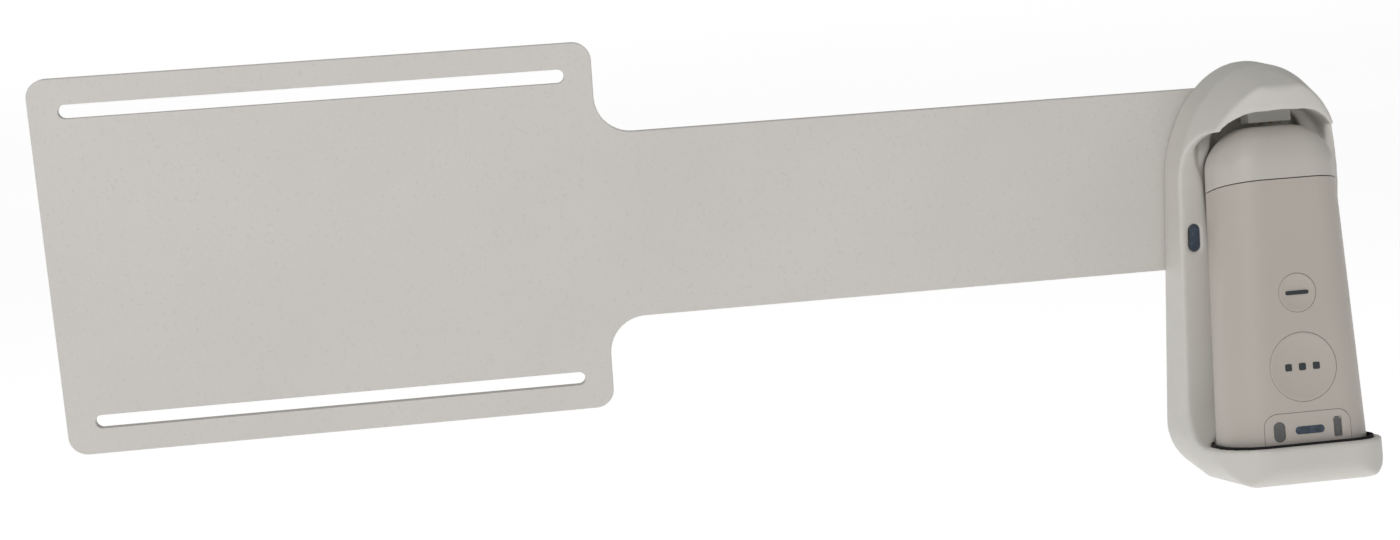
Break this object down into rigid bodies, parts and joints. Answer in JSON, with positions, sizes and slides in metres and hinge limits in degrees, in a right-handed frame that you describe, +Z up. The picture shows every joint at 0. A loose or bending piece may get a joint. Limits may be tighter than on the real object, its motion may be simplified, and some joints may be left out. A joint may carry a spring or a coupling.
{
  "type": "monitor-mount scanner cradle bracket",
  "caption": "Flag-shaped slotted steel arm for the back of a monitor, carrying a hooded charging cradle with a small handheld code scanner standing nose down in it.",
  "frame": {"origin": "centre of the two-slot pattern, on the plate's back face (the face that goes against the monitor)", "axes": "+X along the arm towards the cradle, +Y out of the back of the plate, +Z up; the cradle and scanner face -Y"},
  "size_m": [0.4217, 0.0623, 0.1633],
  "materials": {
    "powder_coat": "satin fine-textured powder coat",
    "cradle_plastic": "fine matt moulded texture",
    "scanner_plastic": "fine matt moulded texture",
    "cap_plastic": "fine matt moulded texture",
    "button_plastic": "matt",
    "panel_plastic": "satin",
    "mark_grey": "satin dark grey",
    "icon_grey": "satin grey",
    "smoked_lens": "smoked translucent",
    "contact_plastic": "satin",
    "zinc_steel": "zinc plated",
    "socket_steel": "nickel plated",
    "brass": "turned",
    "gold_contact": "gold plated",
    "black_rubber": "matt",
    "board_green": "solder resist",
    "chip_black": "matt",
    "led_body": "clear yellowish",
    "window_glass": "tinted",
    "lens_glass": "coated",
    "engine_black": "matt",
    "bracket_steel": "stamped",
    "cell_wrap": "shrink wrap",
    "ribbon_film": "amber film",
    "white_nylon": "satin"
  },
  "bodies": {
    "bracket": {"mount_plate": "powder_coat", "cradle_mount_screws": "zinc_steel", "cradle_inserts": "brass", "cradle_shell": "cradle_plastic", "cradle_back_cover": "cradle_plastic", "cradle_cover_screws": "zinc_steel", "cradle_pcb": "board_green", "board_chips": "chip_black", "status_lens": "smoked_lens", "status_led": "led_body", "usb_socket": "socket_steel", "contact_ribbon": "ribbon_film", "contact_block": "contact_plastic", "contact_springs": "zinc_steel", "cup_liner": "black_rubber"},
    "charging_pins": {"contact_pins": "gold_contact"},
    "scanner": {"scanner_front_shell": "scanner_plastic", "scanner_rear_shell": "scanner_plastic", "scanner_end_cap": "cap_plastic", "scanner_case_screws": "zinc_steel", "charge_pads": "gold_contact", "charge_pad_carrier": "contact_plastic", "indicator_panel": "panel_plastic", "indicator_bar": "smoked_lens", "link_icon": "icon_grey", "battery_icon": "icon_grey", "scan_window": "window_glass", "scan_engine": "engine_black", "engine_lenses": "lens_glass", "engine_bracket": "bracket_steel", "scanner_pcb": "board_green", "tact_switches": "zinc_steel", "scanner_battery": "cell_wrap", "battery_lead": "white_nylon", "buzzer": "chip_black", "vibration_motor": "zinc_steel"},
    "scan_key": {"scan_button": "button_plastic", "scan_button_marks": "mark_grey"},
    "minus_key": {"minus_button": "button_plastic", "minus_button_mark": "mark_grey"}
  },
  "joints": [
    {"name": "scanner_tip", "type": "hinge", "parent": "bracket", "child": "scanner", "pos_m": [0.306, -0.05816, -0.07928], "axis": [1, 0, 0], "range_deg": [0, 70]},
    {"name": "scan_key_press", "type": "slide", "parent": "scanner", "child": "scan_key", "axis": [0, 0.9813, -0.1925], "range_m": [0, 0.0005], "stiffness_N_per_m": 3000, "springref_m": -0.0003},
    {"name": "minus_key_press", "type": "slide", "parent": "scanner", "child": "minus_key", "axis": [0, 0.9813, -0.1925], "range_m": [0, 0.0005], "stiffness_N_per_m": 3000, "springref_m": -0.0003},
    {"name": "charging_pins_press", "type": "slide", "parent": "bracket", "child": "charging_pins", "axis": [0, 0.1925, 0.9813], "range_m": [0, 0.0006], "stiffness_N_per_m": 2000, "springref_m": -0.0005, "deforming": ["contact_springs"]}
  ]
}
